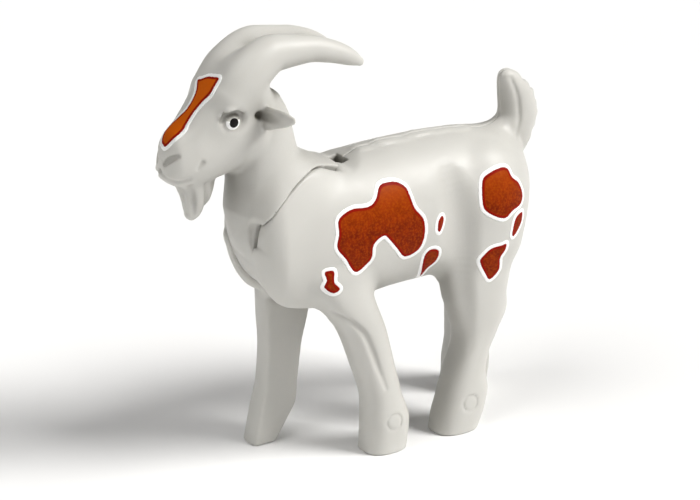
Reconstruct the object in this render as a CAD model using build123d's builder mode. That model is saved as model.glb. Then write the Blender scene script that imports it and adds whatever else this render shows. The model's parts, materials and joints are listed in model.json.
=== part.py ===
from build123d import *
import os
from bisect import bisect
from math import cos, radians, sin, sqrt

os.makedirs("parts", exist_ok=True)

# Toy billy goat moulded in hard plastic, in millimetres.
# It faces -Y, its left side is +X, and its four soles stand on Z = 0.

# ---- driving dimensions ----
WALL = 1.3                # shell thickness of the moulded body halves
LEG_INNER = 3.7           # flat inner face of every leg, from the centre plane
BELLY = 24.0              # height up to which the legs are cut flat
PIVOT = (-8.6, 33.6)      # (Y, Z) of the neck's pivot, which runs along X
SHOULDER_R = 9.6          # round shoulder that the neck's skirt slides over
SKIRT_GAP = 0.2           # clearance between skirt and shoulder
SECTOR = (59.0, 176.0)    # angles about the pivot that the body leaves free for the neck
SKIRT = (68.0, 156.5)     # angles about the pivot that the neck's skirt fills
HUB_R = 6.6               # round hub that the neck turns on, between the two halves
TONGUE_R = 10.6           # chest tongue below the neck, part of the same moulding
TONGUE_HALF = 3.1
TONGUE_INSET = 0.8        # depth of the tongue below the chest
TONGUE = (84.0, 258.0)    # angles that the web and the tongue fill
SLOT_HALF = 3.4           # slot in the halves that hub and tongue turn in
SLOT_GAP = 0.5
SLOT = (72.0, 280.0)
SLOT_OPEN = (150.0, 252.0)   # angles where the slot opens through the chest
TRUNNION_R = 2.0          # stub axles moulded on the tongue
TRUNNION_TIP = 5.4        # their ends, from the centre plane
TRUNNION_GAP = 0.05
BOSS_WALL = 1.3           # wall round a bearing or a pin socket
PIN_R = 1.1               # locating pins between the halves
PIN_REACH = 2.6
PRINT_DEPTH = 0.25        # depth of a printed patch's inlay
PRINT_START = 3.0         # plane that the flank prints are sketched on, from the centre plane
FAR = 60.0                # further out than any part of the goat
SECTOR_WALL = 9.0         # angle that a wall takes up beside the neck's sector
SECTOR_STEPS = 8          # straight cuts that bound a sector, all outside its rim
RING_STEP = 2.2           # spacing of the loft sections
DOME = (0.05, 0.2, 0.45, 0.7)   # where a rounded end has its sections, as shares of its length

# ---- forms: stations that the lofts pass through ----
# Torso, from the chest to the rump: (Y, middle Z, half width, half height).
TORSO = [
    (-18.8, 34.4, 7.2, 7.0), (-16.2, 34.1, 7.4, 8.9), (-13.2, 33.5, 7.7, 10.8), (-10.0, 33.1, 8.0, 11.0),
    (-6.0, 33.0, 8.4, 10.7), (-1.0, 33.2, 8.8, 10.5), (5.0, 33.6, 8.9, 10.4), (12.0, 33.7, 8.8, 10.4),
    (19.0, 33.7, 8.5, 10.0), (24.0, 34.0, 7.9, 9.1), (28.4, 34.6, 7.0, 8.6),
]
TORSO_ENDS = (1.8, 6.0)   # lengths over which its two ends round off
# Legs, from the sole to the shoulder or haunch: (Z, X, Y, half width, half depth).
FRONT_LEFT = [
    (0.0, 6.0, 1.3, 2.6, 3.4), (4.5, 6.0, 1.6, 2.8, 3.5), (9.0, 6.0, 0.8, 2.5, 2.9),
    (14.0, 5.8, -0.6, 2.6, 3.1), (19.0, 5.8, -2.2, 2.8, 3.4), (24.0, 5.5, -4.8, 3.2, 4.2),
    (28.0, 5.0, -6.3, 3.4, 4.6), (32.0, 4.2, -6.5, 2.2, 3.2),
]
FRONT_RIGHT = [
    (0.0, 6.0, -11.7, 2.5, 3.0), (4.5, 6.0, -10.5, 2.6, 3.2), (9.0, 5.9, -9.8, 2.4, 2.9),
    (14.0, 5.8, -9.3, 2.5, 3.0), (19.0, 5.8, -8.8, 2.7, 3.7), (24.0, 5.5, -8.5, 3.2, 4.2),
    (28.0, 5.0, -8.3, 3.4, 4.6), (32.0, 4.2, -7.7, 2.2, 3.4),
]
HIND_LEFT = [
    (0.0, 6.0, 13.6, 2.6, 3.6), (3.0, 6.0, 14.4, 2.8, 3.9), (5.7, 6.0, 15.1, 2.7, 3.8),
    (8.8, 5.9, 15.4, 2.5, 3.1), (11.8, 5.9, 16.2, 2.5, 2.8), (14.7, 5.8, 17.2, 2.6, 3.3),
    (17.7, 5.7, 17.6, 2.9, 4.5), (21.0, 5.6, 17.1, 3.3, 5.0), (24.0, 5.4, 17.1, 3.7, 5.6),
    (28.0, 5.1, 17.7, 4.3, 6.6), (33.5, 4.4, 17.7, 3.8, 6.0), (38.0, 3.6, 17.3, 2.4, 3.8),
]
HIND_RIGHT = [
    (0.0, 6.0, 23.1, 2.6, 3.4), (4.5, 6.0, 23.5, 2.8, 3.6), (9.0, 5.9, 23.3, 2.5, 3.0),
    (14.0, 5.8, 23.2, 2.6, 3.1), (18.5, 5.6, 22.6, 2.9, 4.2), (23.0, 5.4, 21.3, 3.6, 5.2),
    (28.0, 5.1, 19.5, 4.3, 6.5), (33.5, 4.4, 18.2, 3.8, 6.0), (38.0, 3.6, 17.5, 2.4, 3.8),
]
# Tail, standing up from the rump: (Z, X, Y, half width, half depth).
TAIL = [
    (37.0, 0.0, 24.5, 2.2, 3.0), (41.0, 0.0, 26.7, 2.2, 3.2), (44.8, 0.0, 27.6, 2.1, 3.1),
    (47.8, 0.0, 27.4, 2.0, 2.9), (49.6, 0.0, 26.9, 1.7, 2.3), (51.4, 0.0, 26.1, 1.2, 1.4),
]
TAIL_ENDS = (0.0, 1.5)
# Neck, upwards from the shoulders: (Z, X, Y, half width, half depth).
NECK = [
    (31.0, 0.0, -13.7, 5.2, 6.0), (36.0, 0.0, -13.1, 5.6, 7.2), (40.0, 0.0, -12.7, 5.6, 7.6),
    (42.8, 0.0, -12.6, 5.3, 7.5), (44.6, 0.0, -13.9, 4.9, 6.3), (46.5, 0.0, -15.1, 4.6, 5.2),
    (50.5, 0.0, -16.0, 4.4, 5.2), (56.0, 0.0, -17.5, 3.9, 4.0),
]
# Head, from the nose to the back of the skull: (Y, middle Z, half width, half height).
HEAD = [
    (-30.4, 46.9, 2.6, 2.8), (-28.2, 47.6, 3.3, 3.8), (-25.6, 48.9, 4.0, 5.3), (-22.8, 51.0, 4.7, 6.9),
    (-20.0, 52.6, 5.1, 7.8), (-17.0, 53.6, 5.0, 7.2), (-14.1, 53.6, 4.3, 6.0),
]
HEAD_ENDS = (2.0, 3.5)
# Horn and ear of the left side, root to tip: (X, Y, Z, radius).
HORN = [
    (2.3, -20.7, 55.2, 3.2), (2.5, -18.5, 58.0, 3.1), (2.6, -14.1, 60.5, 2.5), (2.9, -9.5, 60.4, 1.9),
    (3.3, -6.1, 59.7, 1.6), (3.7, -3.5, 58.7, 1.25), (4.0, -1.7, 57.7, 0.6),
]
EAR = [
    (3.8, -17.3, 52.4, 1.9), (6.6, -16.9, 52.8, 1.9), (9.2, -16.4, 53.4, 1.4), (11.3, -16.1, 53.9, 0.6),
]
EAR_FLAT = 0.45           # thickness of the ear over its height
# Beard, upwards to the chin: (Z, X, Y, half width, half depth).
BEARD = [
    (38.3, 0.0, -25.9, 0.7, 0.7), (39.8, 0.0, -25.6, 1.3, 1.4), (41.5, 0.0, -25.2, 1.8, 2.2),
    (43.5, 0.0, -25.2, 2.1, 2.8), (46.0, 0.0, -26.1, 2.4, 3.0),
]
BEARD_ENDS = (0.8, 0.0)
EYE = (-21.8, 52.7)       # (Y, Z) of both eyes
EYE_R = 0.8
EYE_START = 3.0           # plane that an eye's print is sketched on, from the centre plane
PINS = [(2.6, 26.2), (5.2, 39.6), (20.5, 35.5)]   # (Y, Z) of the locating pins

# ---- printed patches: (Y, Z) outlines on each flank, in order round the edge ----
LEFT_PRINTS = {
    "left_flank_patch": [
        (-0.1, 40.5), (2.2, 40.6), (4.0, 38.6), (5.8, 35.0), (5.8, 31.6), (3.4, 30.0), (0.3, 33.0),
        (-1.2, 33.6), (-2.7, 30.9), (-4.8, 29.3), (-7.6, 33.0), (-7.5, 36.9), (-5.0, 38.2), (-1.8, 38.5),
    ],
    "left_shoulder_spot": [(-9.5, 30.0), (-8.4, 29.9), (-8.3, 28.4), (-7.7, 27.2), (-8.8, 26.8), (-9.8, 28.0)],
    "left_flank_fleck": [(9.0, 34.8), (9.5, 34.1), (8.7, 32.6), (8.2, 32.9)],
    "left_belly_spot": [(8.1, 30.0), (8.9, 29.0), (7.9, 26.6), (7.4, 25.6), (6.6, 27.2), (6.6, 29.4)],
    "left_haunch_patch": [
        (19.2, 39.9), (20.9, 38.9), (22.5, 36.6), (22.4, 34.2), (19.4, 33.0), (16.6, 34.0), (15.8, 36.6), (16.8, 39.2),
    ],
    "left_rump_fleck": [(22.5, 32.8), (22.5, 31.3), (21.3, 29.9), (20.8, 30.3), (21.4, 32.0)],
    "left_thigh_spot": [(19.4, 28.8), (19.1, 27.2), (18.4, 24.9), (17.0, 23.9), (15.5, 26.6), (16.4, 28.2)],
}
RIGHT_PRINTS = {
    "right_flank_patch": [
        (-3.2, 36.0), (0.6, 38.8), (4.4, 37.0), (5.8, 32.8), (3.8, 29.6), (1.0, 31.2), (-1.2, 28.4), (-4.6, 31.0),
    ],
    "right_back_spot": [(10.1, 39.4), (12.9, 38.8), (13.2, 36.2), (10.6, 35.4), (9.0, 37.2)],
    "right_belly_spot": [(7.4, 29.4), (9.8, 28.4), (9.0, 26.0), (6.6, 26.6)],
    "right_haunch_patch": [(18.2, 39.4), (21.6, 38.2), (22.4, 34.4), (19.8, 32.2), (17.0, 34.4), (16.8, 37.6)],
    "right_thigh_spot": [(18.8, 28.4), (20.8, 26.8), (20.0, 24.0), (17.8, 24.6)],
    "right_shoulder_spot": [(-9.4, 31.4), (-7.8, 30.4), (-8.0, 27.6), (-9.6, 28.4)],
}
# Blaze down the face, in the plane of the forehead: (X, distance up the face).
BLAZE_MIDDLE = (0.0, -26.0, 53.7)
BLAZE_NORMAL = (0.0, -0.76, 0.65)
BLAZE_START = 2.0         # depth of the plane that the blaze is sketched on
BLAZE = [
    (0.0, -5.4), (1.3, -4.4), (1.6, -2.6), (1.2, -0.6), (1.5, 1.4), (2.4, 3.6), (2.2, 5.4),
    (0.2, 5.6), (-1.5, 4.2), (-0.7, 1.8), (-0.6, -0.2), (-1.4, -2.4), (-1.1, -4.6),
]


def section_at(stations, place):
    """Loft section at any place, on smooth curves through the stations that never overshoot them."""
    places = [station[0] for station in stations]
    index = min(bisect(places, place), len(places) - 1) - 1
    gap = places[index + 1] - places[index]
    share = (place - places[index]) / gap
    section = []
    for values in list(zip(*stations))[1:]:
        slopes = [(b - a) / (q - p) for a, b, p, q in zip(values, values[1:], places, places[1:])]
        inner = [2 * a * b / (a + b) if a * b > 0 else 0 for a, b in zip(slopes, slopes[1:])]
        tangents = [slopes[0], *inner, slopes[-1]]
        start, end = values[index], values[index + 1]
        lean = share * (1 - share) * gap
        bend = lean * ((1 - share) * tangents[index] - share * tangents[index + 1])
        section.append(start + (end - start) * share * share * (3 - 2 * share) + bend)
    return section


def rings(stations, ends=(0.0, 0.0)):
    """Closely spaced loft sections through the stations, with each end rounded off over a length."""
    low, high = stations[0][0] + ends[0], stations[-1][0] - ends[1]
    count = round((high - low) / RING_STEP)
    found = [(place, *section_at(stations, place)) for place in
             [low + (high - low) * step / count for step in range(count + 1)]]
    for end, length, inward in ((low - ends[0], ends[0], 1), (high + ends[1], ends[1], -1)):
        for share in DOME if length else ():
            place = end + inward * share * length
            *middle, half_a, half_b = section_at(stations, place)
            size = sqrt(1 - (1 - share) ** 2)
            found.append((place, *middle, half_a * size, half_b * size))
    return sorted(found)


def along_y(stations):
    """Loft through upright ellipses set square to Y."""
    with BuildPart() as form:
        for y, z, half_width, half_height in stations:
            with BuildSketch(Plane(origin=(0, y, z), x_dir=(1, 0, 0), z_dir=(0, 1, 0))):
                Ellipse(half_width, half_height)
        loft(ruled=True)
    return form.part


def along_z(stations, side=1):
    """Loft through level ellipses. A side of -1 puts it on the right."""
    with BuildPart() as form:
        for z, x, y, half_width, half_depth in stations:
            with BuildSketch(Plane(origin=(side * x, y, z))):
                Ellipse(half_width, half_depth)
        loft(ruled=True)
    return form.part


def along_path(stations, side, flat=1.0):
    """Loft through sections set square to a curved line, each radius tall and flat times as thick."""
    points = [Vector(side * x, y, z) for x, y, z, _ in stations]
    with BuildPart() as form:
        for index, point in enumerate(points):
            ahead = points[min(index + 1, len(points) - 1)]
            behind = points[max(index - 1, 0)]
            radius = stations[index][3]
            across = Vector(0, 0, 1).cross(ahead - behind)
            with BuildSketch(Plane(origin=point, x_dir=across, z_dir=ahead - behind)):
                Ellipse(radius * flat, radius)
        loft()
    return form.part


def shrunk(stations, by):
    """The same loft stations, set in by a wall at the sides and at both ends."""
    set_in = [[*place, half_a - by, half_b - by] for *place, half_a, half_b in stations]
    set_in[0][0] += by
    set_in[-1][0] -= by
    return set_in


def sector(outer, angles, inner=0.0, half=FAR):
    """Wedge about the pivot: two radii, two angles, and the same distance out on both sides."""
    turn = (angles[1] - angles[0]) / SECTOR_STEPS
    rim = [radians(angles[0] + turn * step) for step in range(SECTOR_STEPS + 1)]
    with BuildPart() as form:
        with BuildSketch(Plane(origin=(0, *PIVOT), x_dir=(0, 1, 0), z_dir=(1, 0, 0))):
            with BuildLine():
                Polyline((0, 0), *[(2 * FAR * cos(a), 2 * FAR * sin(a)) for a in rim], close=True)
            make_face()
            Circle(outer, mode=Mode.INTERSECT)
            if inner:
                Circle(inner, mode=Mode.SUBTRACT)
        extrude(amount=half, both=True)
    return form.part


def disc(radius, x_low, x_high, centre=PIVOT):
    """Cylinder along X."""
    with BuildPart() as form:
        with BuildSketch(Plane(origin=(x_low, *centre), x_dir=(0, 1, 0), z_dir=(1, 0, 0))):
            Circle(radius)
        extrude(amount=x_high - x_low)
    return form.part


def slab(low, high):
    """Box between two corners."""
    size = [b - a for a, b in zip(low, high)]
    with BuildPart() as form:
        with Locations(low):
            Box(*size, align=(Align.MIN, Align.MIN, Align.MIN))
    return form.part


def inlay(blank, plane, outline, inward):
    """Thin printed patch on the skin of a blank: an outline on a plane inside it, carried outwards."""
    with BuildPart() as form:
        with BuildSketch(plane):
            with BuildLine():
                Spline(*outline, periodic=True)
            make_face()
        extrude(amount=FAR)
        add(blank, mode=Mode.INTERSECT)
        add(blank.moved(Location(Vector(*inward) * PRINT_DEPTH)), mode=Mode.SUBTRACT)
    return form.part


torso = along_y(rings(TORSO, TORSO_ENDS))
cavity = along_y(rings(shrunk(TORSO, WALL), TORSO_ENDS))
tail = along_z(rings(TAIL, TAIL_ENDS))
body_sector = sector(FAR, SECTOR, SHOULDER_R)
cavity_sector = sector(FAR, (SECTOR[0] - SECTOR_WALL, SECTOR[1] + SECTOR_WALL), SHOULDER_R - WALL)
slot_parts = [
    disc(HUB_R + SLOT_GAP, -SLOT_HALF, SLOT_HALF),
    sector(TONGUE_R + SLOT_GAP, SLOT, 0.0, SLOT_HALF),
    sector(FAR, SLOT_OPEN, 0.0, SLOT_HALF),
]
tongue_parts = [disc(HUB_R, -TONGUE_HALF, TONGUE_HALF), sector(TONGUE_R, TONGUE, 0.0, TONGUE_HALF)]

SIDES = {
    "left": (1, FRONT_LEFT, HIND_LEFT, LEFT_PRINTS),
    "right": (-1, FRONT_RIGHT, HIND_RIGHT, RIGHT_PRINTS),
}

for side_name, (side, front, hind, prints) in SIDES.items():
    inside = sorted((0, side * FAR))
    legs = [along_z(rings(front), side), along_z(rings(hind), side)]
    leg_gap = slab((-LEG_INNER, -FAR, -1), (LEG_INNER, FAR, BELLY))

    # Solid outer form of this half, which the prints are cut from.
    with BuildPart() as blank:
        add(legs)
        add(leg_gap, mode=Mode.SUBTRACT)
        add(torso)
        add(tail)
        add(slab((inside[0], -FAR, -1), (inside[1], FAR, 2 * FAR)), mode=Mode.INTERSECT)
        add(body_sector, mode=Mode.SUBTRACT)

    # Room inside the half: the shell's cavity, less the bearing and the pin bosses.
    with BuildPart() as room:
        add(cavity)
        add(cavity_sector, mode=Mode.SUBTRACT)
        boss_span = sorted((side * SLOT_HALF, side * FAR))
        add(disc(TRUNNION_R + TRUNNION_GAP + BOSS_WALL, *boss_span), mode=Mode.SUBTRACT)
        for pin in PINS:
            add(disc(PIN_R + BOSS_WALL, *inside, pin), mode=Mode.SUBTRACT)

    with BuildPart() as half:
        add(blank.part)
        add(room.part, mode=Mode.SUBTRACT)
        add(slot_parts, mode=Mode.SUBTRACT)
        socket = sorted((side * (SLOT_HALF - 1), side * (TRUNNION_TIP + TRUNNION_GAP)))
        add(disc(TRUNNION_R + TRUNNION_GAP, *socket), mode=Mode.SUBTRACT)
        for pin in PINS:
            if side > 0:
                add(disc(PIN_R, -PIN_REACH, 1, pin))
            else:
                add(disc(PIN_R, -PIN_REACH, 1, pin), mode=Mode.SUBTRACT)

    # Each print is sketched on an upright plane inside the half and carried outwards.
    print_plane = Plane(origin=(side * PRINT_START, 0, 0), x_dir=(0, 1, 0), z_dir=(side, 0, 0))
    for print_name, outline in prints.items():
        placed = [(y, side * z) for y, z in outline]
        with BuildPart() as print_layer:
            add(inlay(blank.part, print_plane, placed, (-side, 0, 0)))
        print_layer.part.label = print_name
        export_step(print_layer.part, f"parts/{print_name}.step")
        with BuildPart() as trimmed:
            add(half.part)
            add(print_layer.part, mode=Mode.SUBTRACT)
        half = trimmed

    half.part.label = f"{side_name}_body_half"
    export_step(half.part, f"parts/{side_name}_body_half.step")

# Outer form of the head, which the face prints are cut from.
with BuildPart() as head_blank:
    add(along_y(rings(HEAD, HEAD_ENDS)))
    add(along_z(rings(BEARD, BEARD_ENDS)))
    for side in (1, -1):
        add(along_path(HORN, side))
        add(along_path(EAR, side, EAR_FLAT))

# Neck, with the skirt that slides over the shoulders.
with BuildPart() as neck:
    add(along_z(rings(NECK)))
    add(sector(FAR, SKIRT, SHOULDER_R + SKIRT_GAP), mode=Mode.INTERSECT)

# Web, hub and chest tongue, trimmed a little below the chest.
with BuildPart() as tongue:
    add(tongue_parts)
    add(along_y(rings(shrunk(TORSO, TONGUE_INSET), TORSO_ENDS)), mode=Mode.INTERSECT)

with BuildPart() as head_and_neck:
    add(head_blank.part)
    add(neck.part)
    add(tongue.part)
    add(disc(TRUNNION_R, -TRUNNION_TIP, TRUNNION_TIP))

forehead = Plane(origin=BLAZE_MIDDLE, x_dir=(1, 0, 0), z_dir=BLAZE_NORMAL).offset(-BLAZE_START)
eye_ring = [(EYE_R * cos(radians(a)), EYE_R * sin(radians(a))) for a in range(0, 360, 60)]
FACE_PRINTS = {
    "face_blaze": (forehead, BLAZE, [-n for n in BLAZE_NORMAL]),
    "left_eye": (Plane(origin=(EYE_START, *EYE), x_dir=(0, 1, 0), z_dir=(1, 0, 0)), eye_ring, (-1, 0, 0)),
    "right_eye": (Plane(origin=(-EYE_START, *EYE), x_dir=(0, 1, 0), z_dir=(-1, 0, 0)), eye_ring, (1, 0, 0)),
}
for print_name, (plane, outline, inward) in FACE_PRINTS.items():
    with BuildPart() as print_layer:
        add(inlay(head_blank.part, plane, outline, inward))
    print_layer.part.label = print_name
    export_step(print_layer.part, f"parts/{print_name}.step")
    with BuildPart() as trimmed:
        add(head_and_neck.part)
        add(print_layer.part, mode=Mode.SUBTRACT)
    head_and_neck = trimmed

head_and_neck.part.label = "head_and_neck"
export_step(head_and_neck.part, "parts/head_and_neck.step")
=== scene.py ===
import json
import math

import bpy
import numpy as np
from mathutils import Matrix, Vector


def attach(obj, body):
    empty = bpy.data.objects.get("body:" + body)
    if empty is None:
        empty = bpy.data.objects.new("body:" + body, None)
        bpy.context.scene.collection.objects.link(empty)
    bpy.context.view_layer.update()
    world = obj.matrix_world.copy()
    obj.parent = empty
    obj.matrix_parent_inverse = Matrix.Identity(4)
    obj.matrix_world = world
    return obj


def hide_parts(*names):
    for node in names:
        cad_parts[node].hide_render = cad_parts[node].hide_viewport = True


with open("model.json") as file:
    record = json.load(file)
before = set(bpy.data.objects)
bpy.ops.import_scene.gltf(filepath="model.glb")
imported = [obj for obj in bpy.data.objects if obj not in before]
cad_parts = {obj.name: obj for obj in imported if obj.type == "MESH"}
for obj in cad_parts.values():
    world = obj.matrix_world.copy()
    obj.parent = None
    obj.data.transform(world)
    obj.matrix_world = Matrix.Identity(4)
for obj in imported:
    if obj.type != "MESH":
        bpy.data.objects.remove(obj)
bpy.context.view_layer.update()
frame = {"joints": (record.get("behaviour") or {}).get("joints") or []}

# Toy billy goat moulded in satin white plastic with printed patches. All shapes are worked out in
# millimetres as distance fields, then skinned, and turned into metres at the end. X is to the
# goat's left, Y to its rear and Z up. A detail that is on both sides is given for the left one.

MM = 0.001
PER_METRE = 1000.0            # mm in a metre
FAR = 99.0                    # further out than any form

# ---- joint and clearances ----
# The pivot and the nod are the frame's, and the shoulder's radius is the CAD's. The skirt's gap is
# closer than the CAD's, and the shoulders are fuller at the back, so that the seam is as fine as
# in the photo.
NECK_NOD = frame["joints"][0]
PIVOT = tuple(PER_METRE * v for v in NECK_NOD["pos_m"][1:])   # (Y, Z)
NOD_UP = -NECK_NOD["range_deg"][0]                            # degrees that the head nods up
SHOULDER_R = 9.6
SKIRT_GAP = 0.05
SECTOR = (59.0, 176.0)        # angles about the pivot that the body leaves free
SKIRT = (68.0, 157.0)         # angles that the neck's skirt fills
BACK_R = 10.7                 # the shoulders are fuller under the back of the neck,
BACK_END = (64.0, 122.0)      # and lose that between these angles
HUB_R = 6.6
TONGUE_HALF = 3.1             # half width of the neck's hub, web and tongue
SLOT_HALF = 3.35              # half width of the slot that they turn in
TONGUE_R = 10.6
WEB_R = 9.4
WEB = (84.0, 258.0)           # angles that the web fills
SKIRT_FRONT = 195.0           # angle down to which the neck's front runs on between the lips
TONGUE_TOP = 150.0            # angle at which the tongue starts
SLOT = (69.0, 280.0)          # angles of the slot in the body halves
SLOT_OPEN = (150.0, 252.0)    # angles where it opens through the chest
SLOT_SLACK = 0.6              # room round the tongue's end
HUB_SLACK = 0.5               # room round the hub
NOTCH = (-3.2, 40.0)          # (Y, lowest Z) of the short slot in the back
NOTCH_HALF = (1.5, 1.25)      # its half width and half length
DIP = (63.5, 4.5)             # middle and half width of the dip behind the skirt, in degrees
DIP_REACH = (70.0, 50.0)      # middle and half width of the whole back, for the same
SOFT_CHEST = (150.0, 170.0)   # angles between which the shoulders' rim grows soft at the chest
SOFT_CORNER = (147.0, 156.0)  # angles between which the skirt's rim grows soft
FLARE = (80.0, 140.0, 0.18)   # angles between which the skirt grows proud, and by how much
SINK = (156.0, 40.0, 0.055)   # angle below which the neck's front sinks in, how far on, and how fast
HEEL = (0.84, 0.54, -11.0)    # slope (Y, Z) of the right front foot's heel, and its Y on the ground
LEG_INNER = 3.7               # the legs' flat inner faces, from the middle
BELLY = 24.0
SPLIT_GAP = 0.01              # from the middle to each body half

# ---- fineness of the grids ----
BODY_VOXEL = 0.228            # as fine as keeps each piece under 200,000 faces
HEAD_VOXEL = 0.18
PRINT_VOXEL = 0.12
EYE_VOXEL = 0.07

# ---- forms ----
# Torso and head: (Y, middle Z, half width, half height) at each station.
# Legs, tail, neck, tongue and beard: (Z, X, Y, half width, half depth).
TORSO = [
    (-19.4, 34.4, 7.0, 7.4), (-16.2, 34.1, 7.5, 9.4), (-13.2, 33.5, 7.7, 10.8),
    (-10.0, 33.1, 8.0, 11.0), (-6.0, 33.0, 8.4, 10.7), (-1.0, 33.2, 8.8, 10.5),
    (5.0, 33.6, 8.9, 10.4), (12.0, 33.7, 8.8, 10.4), (19.0, 33.7, 8.5, 10.0),
    (24.0, 34.0, 7.9, 9.1), (28.4, 34.6, 7.0, 8.6),
]
FRONT_LEFT = [
    (0, 5.55, 1.3, 3.05, 3.4), (4.5, 5.55, 1.6, 3.25, 3.5), (9, 5.55, 0.8, 2.95, 2.9),
    (14, 5.35, -0.6, 3.05, 3.1), (19, 5.35, -2.2, 3.25, 3.4), (24, 5.05, -4.8, 3.65, 4.2),
    (28, 5, -6.3, 3.4, 4.6), (32, 4.2, -6.5, 2.2, 3.2),
]
FRONT_RIGHT = [
    (0, 5.55, -11.7, 2.95, 3), (4.5, 5.55, -10.5, 3.05, 3.2), (9, 5.45, -9.8, 2.85, 2.9),
    (14, 5.35, -9.3, 2.95, 3), (19, 5.35, -8.8, 3.15, 3.7), (24, 5.05, -8.5, 3.65, 4.2),
    (28, 5, -8.3, 3.4, 4.6), (32, 4.2, -7.7, 2.2, 3.4),
]
HIND_LEFT = [
    (0, 5.55, 13.6, 3.05, 3.6), (3, 5.55, 14.4, 3.25, 3.9), (5.7, 5.55, 15.1, 3.15, 3.8),
    (8.8, 5.45, 15.4, 2.95, 3.1), (11.8, 5.45, 16.2, 2.95, 2.8), (14.7, 5.35, 17.2, 3.05, 3.3),
    (17.7, 5.25, 17.6, 3.35, 4.5), (21, 5.15, 17.1, 3.75, 5), (24, 4.95, 17.1, 4.15, 5.6),
    (28, 5.1, 17.7, 4.3, 6.6), (33.5, 4.4, 17.7, 3.8, 6), (38, 3.6, 17.3, 2.4, 3.8),
]
HIND_RIGHT = [
    (0, 5.55, 23.1, 3.05, 3.4), (4.5, 5.55, 23.5, 3.25, 3.6), (9, 5.45, 23.3, 2.95, 3),
    (14, 5.35, 23.2, 3.05, 3.1), (18.5, 5.15, 22.6, 3.35, 4.2), (23, 4.95, 21.3, 4.05, 5.2),
    (28, 5.1, 19.5, 4.3, 6.5), (33.5, 4.4, 18.2, 3.8, 6), (38, 3.6, 17.5, 2.4, 3.8),
]
TAIL = [
    (37, 0, 24.5, 2.2, 3.0), (41, 0, 26.0, 2.2, 4.4), (43, 0, 27.0, 2.2, 4.0),
    (44.8, 0, 27.9, 2.1, 3.3), (47.8, 0, 27.4, 1.9, 2.9), (49.8, 0, 26.4, 1.5, 2.0),
    (51.4, 0, 25.7, 0.9, 1.0),
]
NECK = [
    (31, 0, -13.7, 5.2, 6.0), (36, 0, -13.1, 5.6, 7.2), (40, 0, -12.7, 5.6, 7.6),
    (42.8, 0, -12.5, 5.3, 7.6), (44.6, 0, -13.9, 4.9, 6.3), (46.5, 0, -15.1, 4.6, 5.2),
    (50.5, 0, -16.0, 4.4, 5.2), (56, 0, -17.5, 3.9, 4.0),
]
TONGUE = [
    (22.7, 0, -7.5, 3.1, 2.4), (24, 0, -7.5, 3.1, 5.0), (26.8, 0, -7.5, 3.1, 7.7),
    (30, 0, -8.5, 3.1, 8.6), (33, 0, -9.5, 3.15, 9.0), (36, 0, -11.0, 3.5, 8.5),
    (39, 0, -11.8, 3.6, 7.8), (42, 0, -11.8, 3.0, 6.8),
]
HEAD = [
    (-30.4, 46.9, 2.6, 2.8), (-29.1, 47.3, 3.0, 3.4), (-27.1, 48.0, 3.6, 4.4),
    (-25.4, 49.0, 4.1, 5.4), (-23.0, 50.9, 4.7, 6.8), (-20.0, 52.6, 5.1, 7.8),
    (-17.1, 53.6, 5.0, 7.2), (-14.1, 53.6, 4.3, 6.0),
]
# Horn and ear: (X, Y, Z, radius), root to tip.
HORN = [
    (2.3, -20.7, 55.2, 3.2), (2.5, -18.5, 58.0, 3.1), (2.6, -14.1, 60.5, 2.5),
    (2.9, -9.5, 60.4, 1.9), (3.3, -6.1, 59.7, 1.6), (3.7, -3.5, 58.7, 1.25), (4.0, -1.7, 57.7, 0.6),
]
EAR = [
    (3.8, -17.2, 52.4, 1.6), (5.4, -17.0, 52.6, 1.6), (6.8, -16.8, 52.9, 1.4),
    (8.9, -16.5, 53.3, 1.1), (10.8, -16.2, 53.6, 0.5),
]
BEARD = [
    (38.3, 0, -25.9, 0.7, 0.7), (39.8, 0, -25.6, 1.3, 1.4), (41.5, 0, -25.2, 1.8, 2.2),
    (43.5, 0, -25.2, 2.1, 2.8), (46, 0, -26.1, 2.4, 3.0),
]
EYE = (-21.8, 52.7)           # (Y, Z) of the pupil
EYEBALL_X = 3.85
EYE_R = 0.66

# ---- details ----
# Creases and lids: (X, Y, Z, radius) along each.
HAUNCH_GROOVE = [
    (7.6, 11.2, 42.0, 1.0), (9.4, 11.4, 39.8, 2.3), (10.4, 11.6, 36.5, 2.9),
    (10.8, 11.8, 32.5, 3.0), (10.6, 12.0, 28.5, 2.8), (9.6, 12.3, 24.0, 1.9),
    (9.2, 13.6, 18.0, 1.1), (8.9, 14.3, 13.5, 0.3),
]
LEFT_LEG_CREASE = [
    (7.4, -8.6, 23.6, 0.05), (8.3, -6.0, 22.2, 0.25), (8.6, -3.6, 19.6, 0.35),
    (8.5, -2.2, 16.6, 0.35), (8.4, -1.0, 13.4, 0.25), (8.5, 0.1, 10.4, 0.05),
]
RIGHT_LEG_CREASE = [
    (-8.2, -11.2, 25.0, 0.2), (-8.5, -10.6, 20.0, 0.7), (-8.3, -10.4, 15.0, 0.6),
    (-8.3, -10.6, 10.0, 0.1),
]
TAIL_CREASE = [
    (1.6, 25.6, 50.4, 0.05), (2.0, 26.5, 47.5, 0.12), (2.2, 26.8, 44.5, 0.14),
    (2.2, 26.0, 41.5, 0.05),
]
UPPER_LID = [(4.5, -23.5, 53.6, 0.2), (5.0, -22.3, 54.5, 0.35), (4.9, -20.6, 54.3, 0.25)]
LID_CREASE = [
    (4.7, -23.4, 52.9, 0.25), (4.9, -22.7, 53.7, 0.5), (5.0, -21.7, 54.0, 0.5),
    (5.0, -20.7, 53.6, 0.25),
]
NOSTRIL = [(1.0, -30.4, 47.3, 0.34), (1.7, -29.9, 48.0, 0.5), (2.7, -29.0, 48.7, 0.3)]
MOUTH = [
    (0.0, -30.4, 46.2, 0.15), (1.5, -30.0, 45.4, 0.25), (2.6, -29.0, 44.9, 0.25),
    (3.2, -27.6, 45.2, 0.15),
]
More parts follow.
